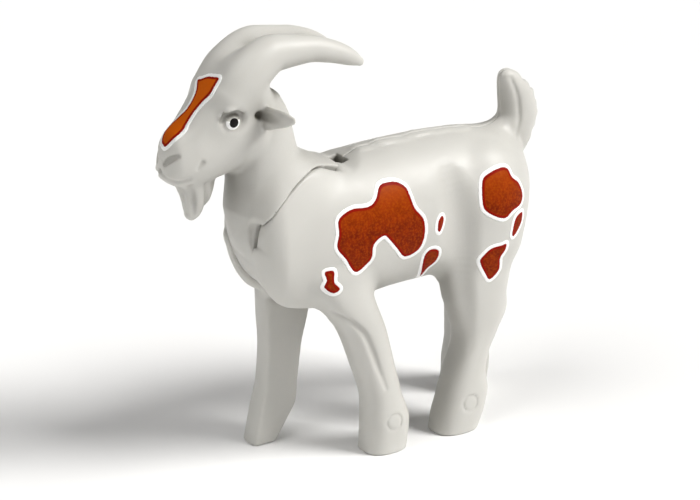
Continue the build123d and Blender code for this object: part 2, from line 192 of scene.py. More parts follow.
MOUTH_CORNER = [(3.7, -26.6, 46.8, 0.12), (3.9, -26.0, 47.6, 0.25)]
# Grooves between the beard's strands: (X, Y) at the top of each.
BEARD_STRANDS = [(0.8, -28.2), (2.2, -27.0), (2.2, -24.6)]
# Notches down the back of the tail: (Y, Z).
TAIL_LOCKS = [(28.2, 49.8), (29.5, 48.3), (30.4, 46.7), (30.9, 45.0), (30.8, 43.2), (30.0, 41.3)]
# Tufts along the spine: (Y, half length, height).
SPINE_TUFTS = [
    (0.9, 1.9, 0.20), (4.6, 1.4, 0.28), (7.0, 1.8, 0.16), (10.4, 1.4, 0.28), (13.2, 1.9, 0.22),
    (17.2, 1.5, 0.18),
]
BACK_TOP = 44.3               # about the height of the spine
# Round moulding marks on the left feet: (Y, Z), then their radius, half width and depth.
WITNESS = [(1.4, 5.0), (14.6, 4.7)]
WITNESS_SIZE = (1.2, 0.12, 0.14)

# ---- printed layers ----
INK_PROUD = 0.09
UNDERPRINT_PROUD = 0.06
UNDERPRINT_WIDTH = 0.5
UNDERPRINT_LAP = 0.1          # how far it goes under the ink
EYE_INK_PROUD = 0.06
EYE_WHITE_PROUD = 0.03
EYE_WHITE_WIDTH = 0.36
EYE_WHITE_LAP = 0.08
EYE_WHITE_TOP = 0.30          # the white ends so far above the pupil's middle
LAYER_DEPTH = 0.12            # how far each layer reaches into the plastic
PRINT_MARGIN = 0.8            # room round an outline in its block
EYE_MARGIN = 1.8
FLANK_SPAN = (4.0, 10.6)      # distances from the middle between which the flanks' skin lies
EYE_SPAN = (2.5, 7.0)

# ---- printed patches: the side (1 is the left), and the (Y, Z) outline on that flank ----
PRINTS = {
    "left_flank_patch": (1, [
        (-0.1, 40.5), (2.2, 40.6), (3.6, 39.8), (4.0, 38.6), (4.5, 36.8), (5.8, 35.0), (6.0, 32.7),
        (5.2, 30.6), (3.0, 29.9), (1.4, 31.6), (0.1, 33.2), (-0.8, 33.8), (-2.3, 32.8),
        (-2.7, 30.6), (-5.0, 29.2), (-6.5, 31.3), (-7.9, 33.3), (-7.6, 35.2), (-7.4, 37.2),
        (-5.3, 38.2), (-2.7, 38.2), (-1.4, 38.9)]),
    "left_shoulder_spot": (1, [
        (-9.7, 30.0), (-8.6, 30.1), (-8.3, 29.7), (-8.4, 28.4), (-7.6, 27.3), (-8.6, 26.8),
        (-9.8, 27.8), (-9.5, 28.8)]),
    "left_flank_fleck": (1, [(9.0, 34.8), (9.5, 34.1), (8.7, 32.6), (8.2, 32.9), (8.3, 34.2)]),
    "left_belly_spot": (1, [
        (8.1, 30.0), (8.9, 29.3), (8.8, 27.8), (7.7, 26.5), (7.7, 24.8), (6.7, 27.0), (6.4, 29.1),
        (7.0, 30.0)]),
    "left_haunch_patch": (1, [
        (19.4, 39.9), (20.5, 39.5), (21.0, 38.3), (22.2, 37.2), (22.9, 35.4), (22.3, 34.1),
        (20.6, 33.6), (18.9, 32.8), (16.3, 34.1), (15.6, 35.6), (16.0, 38.6), (17.6, 39.6)]),
    "left_rump_fleck": (1, [(22.7, 32.8), (22.6, 31.3), (21.2, 29.7), (20.6, 30.0), (21.2, 32.3)]),
    "left_thigh_spot": (1, [
        (19.6, 28.8), (19.5, 27.9), (18.7, 26.7), (18.7, 24.9), (17.2, 23.7), (16.3, 24.7),
        (15.3, 26.8), (15.9, 27.8), (17.1, 28.6), (18.7, 28.7)]),
    "right_flank_patch": (-1, [
        (-3.2, 36.0), (-1.0, 38.4), (0.6, 38.8), (4.4, 37.0), (5.8, 32.8), (3.8, 29.6), (1.0, 31.2),
        (-1.2, 28.4), (-4.6, 31.0)]),
    "right_back_spot": (-1, [(10.1, 39.4), (12.9, 38.8), (13.2, 36.2), (10.6, 35.4), (9.0, 37.2)]),
    "right_belly_spot": (-1, [(7.4, 29.4), (9.8, 28.4), (9.0, 26.0), (6.6, 26.6)]),
    "right_haunch_patch": (-1, [
        (18.2, 39.4), (21.6, 38.2), (22.4, 34.4), (19.8, 32.2), (17.0, 34.4), (16.8, 37.6)]),
    "right_thigh_spot": (-1, [(18.8, 28.4), (20.8, 26.8), (20.0, 24.0), (17.8, 24.6)]),
    "right_shoulder_spot": (-1, [(-9.4, 31.4), (-7.8, 30.4), (-8.0, 27.6), (-9.6, 28.4)]),
}
# Blaze on the face: (X, distance up the face) about a point of the forehead.
BLAZE_MIDDLE = (-26.0, 53.7)
BLAZE_UP = (0.65, 0.76)       # (Y, Z) of the way up the face
BLAZE = [
    (-1.7, 4.2), (-1.1, 4.6), (0.0, 5.3), (1.2, 5.6), (2.3, 5.8), (2.5, 5.1), (2.5, 3.5),
    (1.7, 1.9), (1.3, 0.0), (1.4, -1.7), (1.6, -2.4), (1.4, -3.8), (0.7, -5.4), (0.0, -5.6),
    (-1.1, -5.0), (-1.8, -3.1), (-1.2, -1.4), (-0.5, 0.2), (-0.5, 1.8), (-0.8, 3.0),
]


# ---- distance fields ----
def smooth_between(knots, values, at):
    """Smooth curve through the knots that never overshoots them, and is flat beyond the ends."""
    knots, values = np.asarray(knots, float), np.asarray(values, float)
    gap = np.diff(knots)
    slope = np.diff(values) / gap
    rising = slope[:-1] * slope[1:] > 0
    near, far = np.where(rising, slope[:-1], 1), np.where(rising, slope[1:], 1)
    tangent = np.concatenate([slope[:1], np.where(rising, 2 * near * far / (near + far), 0), slope[-1:]])
    at = np.clip(at, knots[0], knots[-1])
    i = np.clip(np.searchsorted(knots, at) - 1, 0, len(gap) - 1)
    t = (at - knots[i]) / gap[i]
    bend = t * (1 - t) * gap[i] * ((1 - t) * tangent[i] - t * tangent[i + 1])
    return values[i] + (values[i + 1] - values[i]) * t * t * (3 - 2 * t) + bend


def smooth_min(a, b, blend):
    """Union of two fields, with a fillet as wide as the blend."""
    if np.isscalar(blend) and blend <= 0:
        return np.minimum(a, b)
    h = np.clip(0.5 + 0.5 * (b - a) / blend, 0, 1)
    return b + (a - b) * h - blend * h * (1 - h)


def smooth_max(a, b, blend):
    """Intersection of two fields, with a fillet as wide as the blend."""
    return -smooth_min(-a, -b, blend)


def section(a, b, half_a, half_b, power):
    """Distance from a rounded section: power 2 is an ellipse, and more is squarer."""
    qa, qb = np.abs(a) / half_a, np.abs(b) / half_b
    size = (qa ** power + qb ** power) ** (1 / power) + 1e-6
    steep = np.sqrt((qa ** (power - 1) / half_a) ** 2 + (qb ** (power - 1) / half_b) ** 2)
    return (size - 1) / (size ** (1 - power) * steep + 1e-6)


def rounding(at, low, high, ends):
    """How much of its size a loft has at a place, as its two ends round off."""
    size = np.ones_like(at)
    for inside, length in ((at - low, ends[0]), (high - at, ends[1])):
        if length:
            size *= np.sqrt(np.maximum(1 - (1 - np.clip(inside / length, 0, 1)) ** 2, 0))
    return size


def loft(stations, axis, side=1, ends=(0, 0), power=2.0):
    """Form along Y or Z, through stations: place, its middle (one or two), and two half sizes."""
    table = np.array(stations, float)
    low, high = table[0, 0], table[-1, 0]

    def field(X, Y, Z):
        along = (X, Y, Z)[axis]
        at = along.ravel().astype(float)
        *middle, half_a, half_b = [smooth_between(table[:, 0], column, at) for column in table.T[1:]]
        size = rounding(at, low, high, ends)
        if axis == 1:
            middle.insert(0, np.zeros_like(at))
        half_a, half_b = np.maximum(half_a * size, 0.05), np.maximum(half_b * size, 0.05)
        shaped = [np.asarray(v, np.float32).reshape(along.shape)
                  for v in (side * middle[0], middle[1], half_a, half_b)]
        across = Z if axis == 1 else Y
        found = section(X - shaped[0], across - shaped[1], shaped[2], shaped[3], power)
        return np.maximum(found, np.maximum(low - along, along - high))
    return field


def ellipsoid(middle, radii):
    """Field of an ellipsoid, close to a true distance near its surface."""
    def field(X, Y, Z):
        q = [(v - m) / r for v, m, r in zip((X, Y, Z), middle, radii)]
        size = np.sqrt(sum(v * v for v in q)) + 1e-6
        return size * (size - 1) / (np.sqrt(sum((v / r) ** 2 for v, r in zip(q, radii))) + 1e-6)
    return field


def rope(points, radii, stretch=(1, 1, 1), pieces=4):
    """Round tapered rod along a smooth path, with its section stretched along the axes."""
    points, radii = np.array(points, float), np.array(radii, float)
    knots = np.concatenate([[0], np.cumsum(np.linalg.norm(np.diff(points, axis=0), axis=1))])
    at = np.linspace(0, knots[-1], pieces * (len(points) - 1) + 1)
    path = np.stack([smooth_between(knots, column, at) for column in points.T], 1)
    radius = smooth_between(knots, radii, at)
    shrink = 1 / np.array(stretch, float)

    def field(X, Y, Z):
        best = None
        for a, b, ra, rb in zip(path[:-1], path[1:], radius[:-1], radius[1:]):
            run = (b - a) * shrink
            p = [(v - m) * s for v, m, s in zip((X, Y, Z), a, shrink)]
            t = np.clip(sum(v * r for v, r in zip(p, run)) / (run ** 2).sum(), 0, 1)
            gap = np.sqrt(sum((v - t * r) ** 2 for v, r in zip(p, run))) - (ra + t * (rb - ra))
            best = gap if best is None else np.minimum(best, gap)
        return best * min(stretch)
    return field


def side_box(side, reach, low, high):
    """Corners of a box on one side, out to a reach from the middle: low and high are (Y, Z)."""
    return (min(0, side * reach), *low), (max(0, side * reach), *high)


def side_rope(table, side=1, **settings):
    """Rope along a table of (X, Y, Z, radius), on either side of the goat."""
    return rope([(side * x, y, z) for x, y, z, _ in table], [row[3] for row in table], **settings)


def polar(Y, Z):
    """Distance and angle about the pivot, in mm and degrees from 0 to 360 (0 is to the rear)."""
    y, z = Y - PIVOT[0], Z - PIVOT[1]
    return np.sqrt(y * y + z * z), np.degrees(np.arctan2(z, y)) % 360


def wedge(radius, angle, low, high):
    """Distance from a wedge about the pivot between two angles."""
    return np.maximum(low - angle, angle - high) * (math.pi / 180) * np.maximum(radius, 1.0)


class Clay:
    """Block of space on a regular grid that shapes are added to and cut from."""

    def __init__(self, low, high, voxel):
        self.low, self.voxel = np.array(low, float), voxel
        counts = np.ceil((np.array(high) - low) / voxel).astype(int) + 1
        self.axes = [self.low[i] + voxel * np.arange(counts[i]) for i in range(3)]
        self.field = np.full(tuple(counts), 9.0, np.float32)

    def grid(self, low=(-FAR,) * 3, high=(FAR,) * 3):
        """The part of the block between two corners: its slices and its coordinates."""
        cut = []
        for i in range(3):
            first = int(np.floor((low[i] - self.low[i]) / self.voxel))
            last = int(np.ceil((high[i] - self.low[i]) / self.voxel)) + 1
            cut.append(slice(*np.clip((first, last), 0, self.field.shape[i])))
        shapes = ((-1, 1, 1), (1, -1, 1), (1, 1, -1))
        return tuple(cut), [self.axes[i][cut[i]].astype(np.float32).reshape(shapes[i]) for i in range(3)]

    def merge(self, how, shape, low, high, blend):
        """Blend a shape into the block between two corners."""
        cut, place = self.grid(low, high)
        if self.field[cut].size:
            self.field[cut] = how(self.field[cut], shape(*place), blend)

    def add(self, shape, low=(-FAR,) * 3, high=(FAR,) * 3, blend=0.0):
        self.merge(smooth_min, shape, low, high, blend)

    def cut(self, shape, low=(-FAR,) * 3, high=(FAR,) * 3, blend=0.0):
        self.merge(lambda a, b, k: smooth_max(a, -b, k), shape, low, high, blend)

    def keep(self, shape, blend=0.0):
        self.merge(smooth_max, shape, (-FAR,) * 3, (FAR,) * 3, blend)

    def value(self, points):
        """Field at any points, and its slope."""
        place = np.clip((points - self.low) / self.voxel, 0, np.array(self.field.shape) - 1.001)
        cell = place.astype(int)
        t = place - cell
        corner = {(a, b, c): self.field[cell[:, 0] + a, cell[:, 1] + b, cell[:, 2] + c]
                  for a in (0, 1) for b in (0, 1) for c in (0, 1)}

        def weighed(skip):
            total = 0
            for key, found in corner.items():
                weight = 1.0
                for i in range(3):
                    if i == skip:
                        weight = weight * (1 if key[i] else -1)
                    else:
                        weight = weight * (t[:, i] if key[i] else 1 - t[:, i])
                total = total + weight * found
            return total
        return weighed(None), np.stack([weighed(i) for i in range(3)], 1) / self.voxel

    def snap(self, points):
        """Points moved onto the surface, where they are inside the block."""
        points = np.array(points, float)
        top = self.low + self.voxel * (np.array(self.field.shape) - 1)
        held = ((points > self.low) & (points < top)).all(1)
        for _ in range(8):
            value, slope = self.value(points)
            step = np.where(held, np.clip(value, -0.4, 0.4), 0)
            steep = np.maximum((slope ** 2).sum(1), 0.2)
            points -= step[:, None] * slope / steep[:, None]
        return points

    def skin(self):
        """Closed quad mesh of the surface: points in mm, and faces."""
        f = self.field
        inside = f < 0
        total = np.zeros(tuple(n - 1 for n in f.shape), np.int8)
        offsets = [(a, b, c) for a in (0, 1) for b in (0, 1) for c in (0, 1)]
        for a, b, c in offsets:
            total += inside[a:f.shape[0] - 1 + a, b:f.shape[1] - 1 + b, c:f.shape[2] - 1 + c]
        cells = np.argwhere((total > 0) & (total < 8))
        number = np.full(total.shape, -1, np.int32)
        number[tuple(cells.T)] = np.arange(len(cells))
        corner = {o: f[tuple((cells + o).T)] for o in offsets}
        place, count = np.zeros((len(cells), 3)), np.zeros(len(cells))
        for o in offsets:
            for axis in range(3):
                if o[axis]:
                    continue
                other = tuple(1 if i == axis else o[i] for i in range(3))
                a, b = corner[o], corner[other]
                crossing = (a < 0) != (b < 0)
                share = np.where(crossing, a / np.where(crossing, a - b, 1), 0)
                at = np.repeat(np.array([o], float), len(cells), 0)
                at[:, axis] += share
                place += at * crossing[:, None]
                count += crossing
        # One point for each cell that the surface runs through, then moved onto the surface.
        points = (cells + place / count[:, None]) * self.voxel + self.low
        for _ in range(3):
            value, slope = self.value(points)
            steep = (slope ** 2).sum(1)
            step = np.where(steep > 0.05, value / np.maximum(steep, 0.05), 0)
            step = np.clip(step, -0.3 * self.voxel, 0.3 * self.voxel)
            points -= slope * step[:, None]
        # One face round each grid edge that crosses the surface.
        faces = []
        for axis in range(3):
            u, v = (axis + 1) % 3, (axis + 2) % 3
            first = [slice(1, -1)] * 3
            second = [slice(1, -1)] * 3
            first[axis], second[axis] = slice(0, -1), slice(1, None)
            start, end = inside[tuple(first)], inside[tuple(second)]
            shift = np.ones(3, int)
            shift[axis] = 0
            for edges, flip in ((start & ~end, False), (~start & end, True)):
                at = np.argwhere(edges) + shift
                ring = []
                for du, dv in ((-1, -1), (0, -1), (0, 0), (-1, 0)):
                    cell = at.copy()
                    cell[:, u] += du
                    cell[:, v] += dv
                    ring.append(number[tuple(cell.T)])
                faces.append(np.stack(ring[::-1] if flip else ring, 1))
        return points, np.concatenate(faces)


def piece(name, points, faces, material, body, slot, replaced=None):
    """Object from a mesh in mm, riding on a body, with a material. The slot argument is not used."""
    mesh = bpy.data.meshes.new(name)
    mesh.vertices.add(len(points))
    mesh.vertices.foreach_set("co", (points * MM).astype(np.float32).ravel())
    mesh.loops.add(faces.size)
    mesh.loops.foreach_set("vertex_index", faces.astype(np.int32).ravel())
    mesh.polygons.add(len(faces))
    mesh.polygons.foreach_set("loop_start", np.arange(len(faces), dtype=np.int32) * faces.shape[1])
    mesh.polygons.foreach_set("use_smooth", np.ones(len(faces), bool))
    mesh.update(calc_edges=True)
    mesh.validate()
    obj = bpy.data.objects.new(name, mesh)
    bpy.context.scene.collection.objects.link(obj)
    mesh.materials.append(material)
    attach(obj, body)
    if replaced:
        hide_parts(replaced)
    return obj


# ---- materials ----
MIX_FACTOR, MIX_LOW, MIX_HIGH, MIX_RESULT = 0, 6, 7, 2   # the Mix node's sockets for colours
PAINTED_SHADE_REACH = 15.0           # mm round which the ambient occlusion looks for the hollows that get painted shade
PATCH_PAINTED_LIGHT = (34.5, 41.0)      # heights between which painted light makes the patches lighter
BLAZE_PAINTED_LIGHT = (46.0, 52.0)       # heights between which painted light makes the blaze lighter still
RIM = (0.30, 0.48)            # mm from the outline at which the dark rim starts to fade and ends


def node_tree(name):
    """New material with its node tree and its main shader."""
    material = bpy.data.materials.new(name)
    material.use_nodes = True
    tree = material.node_tree
    return material, tree, tree.nodes["Principled BSDF"]


def mixed(tree, low, high, factor):
    """Colour between two colours or sockets, by a factor."""
    mix = tree.nodes.new("ShaderNodeMix")
    mix.data_type = "RGBA"
    for number, value in ((MIX_LOW, low), (MIX_HIGH, high), (MIX_FACTOR, factor)):
        socket = mix.inputs[number]
        if isinstance(value, bpy.types.NodeSocket):
            tree.links.new(value, socket)
        else:
            socket.default_value = (*value, 1) if isinstance(value, tuple) else value
    return mix.outputs[MIX_RESULT]


def noise(tree, size_mm, detail=3.0, rough=0.5):
    """Noise whose blobs are about so many millimetres across."""
    place = tree.nodes.new("ShaderNodeTexCoord")
    node = tree.nodes.new("ShaderNodeTexNoise")
    node.inputs["Scale"].default_value = 1 / (size_mm * MM)
    node.inputs["Detail"].default_value = detail
    node.inputs["Roughness"].default_value = rough
    tree.links.new(place.outputs["Object"], node.inputs["Vector"])
    return node.outputs["Fac"]


def ramp(tree, source, low, high, start=0.0, end=1.0):
    """Factor that runs from start to end as the source runs from low to high."""
    node = tree.nodes.new("ShaderNodeMapRange")
    for key, value in (("From Min", low), ("From Max", high), ("To Min", start), ("To Max", end)):
        node.inputs[key].default_value = value
    tree.links.new(source, node.inputs["Value"])
    return node.outputs["Result"]


def bump(tree, shader, height, depth_mm, strength):
    """Fine relief on the shader's surface."""
    node = tree.nodes.new("ShaderNodeBump")
    node.inputs["Strength"].default_value = strength
    node.inputs["Distance"].default_value = depth_mm * MM
    tree.links.new(height, node.inputs["Height"])
    tree.links.new(node.outputs["Normal"], shader.inputs["Normal"])


def plastic(name, tint, shade, roughness):
    """Moulded plastic: a faint mottle, a darker tone in hollows that is painted shade, and a fine
    moulded surface.
    """
    material, tree, shader = node_tree(name)
    # Painted shade: an ambient occlusion probe darkens the colour towards the shade colour in creases,
    # hollows and under the jaw.
    crease = tree.nodes.new("ShaderNodeAmbientOcclusion")
    crease.inputs["Distance"].default_value = PAINTED_SHADE_REACH * MM
    crease.samples = 8
    crease.only_local = True
    unshaded_share = ramp(tree, crease.outputs["AO"], 0.25, 1.0)
    mottle = ramp(tree, noise(tree, 9.0, 2.0), 0.35, 0.65)
    unshaded_tint = mixed(tree, tint, tuple(0.965 * c for c in tint), mottle)
    tree.links.new(mixed(tree, shade, unshaded_tint, unshaded_share), shader.inputs["Base Color"])
    tree.links.new(ramp(tree, noise(tree, 1.6, 4.0), 0.3, 0.7, roughness - 0.05, roughness + 0.06),
                   shader.inputs["Roughness"])
    bump(tree, shader, noise(tree, 0.35, 3.0), 0.006, 0.6)
    shader.inputs["IOR"].default_value = 1.5
    shader.inputs["Subsurface Weight"].default_value = 0.12
    shader.inputs["Subsurface Radius"].default_value = (1.0, 0.9, 0.75)
    shader.inputs["Subsurface Scale"].default_value = 0.9 * MM
    return material


def printed(name):
    """Printed brown patch: mottled, lighter towards the top as painted light, with a dark red rim."""
    material, tree, shader = node_tree(name)
    edge = tree.nodes.new("ShaderNodeAttribute")
    edge.attribute_name = "edge"
    height = tree.nodes.new("ShaderNodeTexCoord")
    axes = tree.nodes.new("ShaderNodeSeparateXYZ")
    tree.links.new(height.outputs["Object"], axes.inputs[0])
    worn = ramp(tree, noise(tree, 1.1, 5.0, 0.62), 0.40, 0.66)
    fine = ramp(tree, noise(tree, 0.32, 3.0, 0.6), 0.45, 0.62)
    base = mixed(tree, (0.16, 0.011, 0.000), (0.25, 0.023, 0.000), worn)
    # Painted light: the patches, and the blaze more so, get a lighter colour higher up, as if lit from
    # above.
    upper = ramp(tree, axes.outputs["Z"], PATCH_PAINTED_LIGHT[0] * MM, PATCH_PAINTED_LIGHT[1] * MM, 0.0, 0.7)
    face = ramp(tree, axes.outputs["Z"], BLAZE_PAINTED_LIGHT[0] * MM, BLAZE_PAINTED_LIGHT[1] * MM, 0.0, 0.75)
    light = mixed(tree, base, (0.46, 0.070, 0.001), upper)
    light = mixed(tree, light, (0.66, 0.125, 0.002), face)
    speckled = mixed(tree, light, (0.52, 0.090, 0.002), ramp(tree, fine, 0.0, 1.0, 0.0, 0.3))
    inside = ramp(tree, edge.outputs["Fac"], *RIM)
    tree.links.new(mixed(tree, (0.26, 0.005, 0.000), speckled, inside), shader.inputs["Base Color"])
    tree.links.new(ramp(tree, worn, 0, 1, 0.42, 0.56), shader.inputs["Roughness"])
    shader.inputs["Specular IOR Level"].default_value = 0.06
    bump(tree, shader, noise(tree, 0.25, 3.0), 0.012, 0.8)
    return material


def inked(name, low, high, roughness, size_mm, gloss=0.5):
    """Thin even ink, with a faint mottle and a slightly uneven gloss."""
    material, tree, shader = node_tree(name)
    tone = noise(tree, size_mm, 3.0)
    tree.links.new(mixed(tree, low, high, tone), shader.inputs["Base Color"])
    tree.links.new(ramp(tree, tone, 0.3, 0.7, roughness - 0.03, roughness + 0.05),
                   shader.inputs["Roughness"])
    shader.inputs["Specular IOR Level"].default_value = gloss
    bump(tree, shader, noise(tree, 0.3, 2.0), 0.004, 0.5)
    return material


# The second colour is the painted shade that the white plastic's hollows are darkened towards.
white = plastic("white_plastic_moulded", (0.61, 0.60, 0.565), (0.095, 0.085, 0.06), 0.48)
patch_ink = printed("patch_ink_printed")
underprint = inked("underprint_white", (0.94, 0.94, 0.93), (0.98, 0.98, 0.97), 0.35, 1.5)
eye_ink = inked("eye_ink_black", (0.004, 0.003, 0.003), (0.008, 0.006, 0.006), 0.35, 0.8, 0.15)


# ---- form of the goat ----
def groove(clay, table, blend, both=False):
    """Soft crease along a path that is moved onto the skin: (X, Y, Z, radius) in the table."""
    radii = [row[3] for row in table]
    reach = max(radii) + 2 * blend + 0.3
    for side in (1, -1) if both else (1,):
        path = clay.snap([(side * x, y, z) for x, y, z, _ in table])
        low = [min(p[i] for p in path) - reach for i in range(3)]
        high = [max(p[i] for p in path) + reach for i in range(3)]
        clay.cut(rope(path, radii), low, high, blend)


def swelling(clay, middle, radii, blend, both=True, hollow=False):
    """Soft bulge or hollow."""
    for side in (1, -1) if both else (1,):
        at = (side * middle[0], middle[1], middle[2])
        low = [m - r - 2 * blend for m, r in zip(at, radii)]
        high = [m + r + 2 * blend for m, r in zip(at, radii)]
        (clay.cut if hollow else clay.add)(ellipsoid(at, radii), low, high, blend)


def mark(Y, Z, middle, radius, width):
    """Ring in the side view."""
    return np.abs(np.sqrt((Y - middle[0]) ** 2 + (Z - middle[1]) ** 2) - radius) - width


def leg_room(X, Y, Z):
    """Space between the legs, up to the belly, with flat sides."""
    return np.maximum(np.abs(X) - LEG_INNER, Z - BELLY + 1.6) + 0 * Y


def progress(value, start, end):
    """How far a value has come from start to end, from 0 to 1."""
    return np.clip((value - start) / (end - start), 0, 1)


def shoulder(angle, shift=0.0):
    """Radius of the shoulders at an angle about the pivot."""
    fuller = np.clip((BACK_END[1] + shift - angle) / (BACK_END[1] - BACK_END[0]), 0, 1)
    return SHOULDER_R + (BACK_R - SHOULDER_R) * fuller


def valley(X, Y, Z):
    """Everything below a shallow dip that runs across the back, where the neck's skirt ends."""
    radius, angle = polar(Y, Z)
    away = np.maximum(np.abs(angle - DIP[0]) - DIP[1], 0)
    rim = BACK_R + 0.05 + 0.08 * away + 0.03 * away ** 2
    over_the_back = np.abs(angle - DIP_REACH[0]) < DIP_REACH[1]
    return np.where(over_the_back, radius - rim, -9.0) + 0 * X


def heel_room(X, Y, Z):
    """Space behind the slanted heel of the right front foot."""
    return HEEL[1] * Z - HEEL[0] * (Y - HEEL[2]) + 0 * X


def shape_body(clay):
    """Torso, legs, tail and neck as one form, before it is parted."""
    clay.add(loft(TORSO, 1, ends=(4.6, 6.0), power=2.2))
    for stations, side in ((FRONT_LEFT, 1), (FRONT_RIGHT, -1), (HIND_LEFT, 1), (HIND_RIGHT, -1)):
        low, high = (-0.5, 12) if side > 0 else (-12, 0.5)
        clay.add(loft(stations, 2, side, (0, 3), 2.5), (low, -FAR, -1), (high, FAR, 41), 1.6)
    # The haunches, and the groove in front of each.
    swelling(clay, (4.7, 18.8, 33.0), (5.0, 6.6, 9.4), 1.2)
    for side in (1, -1):
        clay.cut(side_rope(HAUNCH_GROOVE, side), *side_box(side, 16, (4, 9), (20, 48)), 1.3)
    # Creases down the front legs, and the heel of the right front foot.
    groove(clay, LEFT_LEG_CREASE, 0.5)
    groove(clay, RIGHT_LEG_CREASE, 1.2)
    clay.cut(heel_room, (-12, -16, -1), (-2, -6, 6), 0.4)
    clay.add(loft(TAIL, 2, ends=(0, 0.9)), (-4, 18, 36), (4, 40, 60), 2.2)
    # Locks of hair on the tail, and low tufts along the spine.
    for y, z in TAIL_LOCKS:
        notch = [(-2.6, y + 0.3, z + 0.5), (0, y + 0.3, z), (2.6, y + 0.3, z + 0.5)]
        clay.cut(rope(notch, [0.45, 0.5, 0.45]), (-3.5, y - 2, z - 1.5), (3.5, y + 2, z + 2), 0.4)
    groove(clay, TAIL_CREASE, 0.6, both=True)
    for y, length, height in SPINE_TUFTS:
        tuft = clay.snap([(0, y, BACK_TOP)])[0]
        swelling(clay, tuft, (1.0, length, height), 0.8, both=False)
    clay.add(loft(NECK, 2, ends=(2, 2)), (-9, -FAR, 28), (9, 7, 60), 2.6)
    clay.cut(leg_room, (-6, -FAR, -2), (6, FAR, 26), 0.35)
    clay.keep(valley, 1.0)


def body_half(side):
    """One half of the body, parted from the neck and from the other half."""
    low = (-0.5, -21, -0.5) if side > 0 else (-10.5, -21, -0.5)
    high = (10.5, 32.5, 53) if side > 0 else (0.5, 32.5, 53)
    clay = Clay(low, high, BODY_VOXEL)
    shape_body(clay)
    X, Y, Z = clay.grid()[1]
    radius, angle = polar(Y, Z)
    if side > 0:
        mark_radius, mark_half, mark_depth = WITNESS_SIZE
        for middle in WITNESS:
            ring = np.maximum(mark(Y, Z, middle, mark_radius, mark_half), -clay.field - mark_depth)
            clay.field = smooth_max(clay.field, -ring, 0.1)
    # Room for the neck's skirt over the shoulders, with a softer edge at the chest.
    sector = np.maximum(wedge(radius, angle, *SECTOR), shoulder(angle) - radius) + 0 * X
    clay.field = smooth_max(clay.field, -sector, 0.2 + progress(angle, *SOFT_CHEST) + 0 * X)
    # Slot that the neck's hub, web and tongue turn in. It opens through the chest.
    slot = np.maximum(radius - TONGUE_R - SLOT_SLACK, wedge(radius, angle, *SLOT))
    slot = np.minimum(slot, wedge(radius, angle, *SLOT_OPEN))
    slot = np.minimum(slot, radius - HUB_R - HUB_SLACK)
    clay.field = smooth_max(clay.field, -np.maximum(slot, np.abs(X) - SLOT_HALF), 1.5)
    # Short slot in the back, where the web has room to move.
    notch = np.maximum(np.abs(X) - NOTCH_HALF[0], np.abs(Y - NOTCH[0]) - NOTCH_HALF[1])
    clay.field = smooth_max(clay.field, -np.maximum(notch, NOTCH[1] - Z), 0.25)
    clay.keep(lambda X, Y, Z: SPLIT_GAP - side * X, 0.12)
    return clay


def shape_head(clay):
    """Skull, beard, horns and ears, with the face's details."""
    clay.add(loft(HEAD, 1, ends=(2.0, 3.5), power=2.5), (-8, -FAR, 40), (8, -8, 66), 1.2)
    clay.add(loft(BEARD, 2, ends=(0.8, 0)), (-4, -32, 36), (4, -18, 48), 0.8)
    for side in (1, -1):
        horn = side_rope(HORN, side, pieces=9)
        clay.add(horn, *side_box(side, 9, (-26, 50), (2, 66)), 0.8)
    # Eye sockets with their lids, and the eyeballs in them.
    swelling(clay, (5.8, -22.0, 53.0), (1.7, 2.2, 1.6), 0.6, hollow=True)
    swelling(clay, (EYEBALL_X, *EYE), (1.25, 1.35, 1.35), 0.25)
    for side in (1, -1):
        clay.add(side_rope(UPPER_LID, side), *side_box(side, 7, (-26, 51), (-18, 56)), 0.6)
        ear = side_rope(EAR, side, stretch=(1, 0.45, 1))
        clay.add(ear, *side_box(side, 14, (-22, 48), (-10, 60)), 0.5)
    # The ears' hollows, and the creases between the eyes and their lids.
    swelling(clay, (7.2, -18.0, 53.1), (3.0, 1.0, 0.85), 0.3, hollow=True)
    groove(clay, LID_CREASE, 0.25, both=True)
    # Cheeks drawn in below the eyes and behind the jaw.
    swelling(clay, (7.4, -25.4, 50.6), (2.6, 3.0, 2.2), 1.8, hollow=True)
    # Muzzle: lip, nostrils and mouth.
    swelling(clay, (0.9, -29.2, 45.7), (1.2, 1.2, 0.8), 1.2)
    groove(clay, NOSTRIL, 0.25, both=True)
    groove(clay, MOUTH, 0.5, both=True)
    groove(clay, MOUTH_CORNER, 0.4, both=True)
    for x, y in BEARD_STRANDS:
        strand = [(x, y, 44.0, 0.2), (x * 0.9, y + 0.4, 42.0, 0.35), (x * 0.5, y + 1.0, 39.6, 0.2)]
        groove(clay, strand, 0.5, both=True)


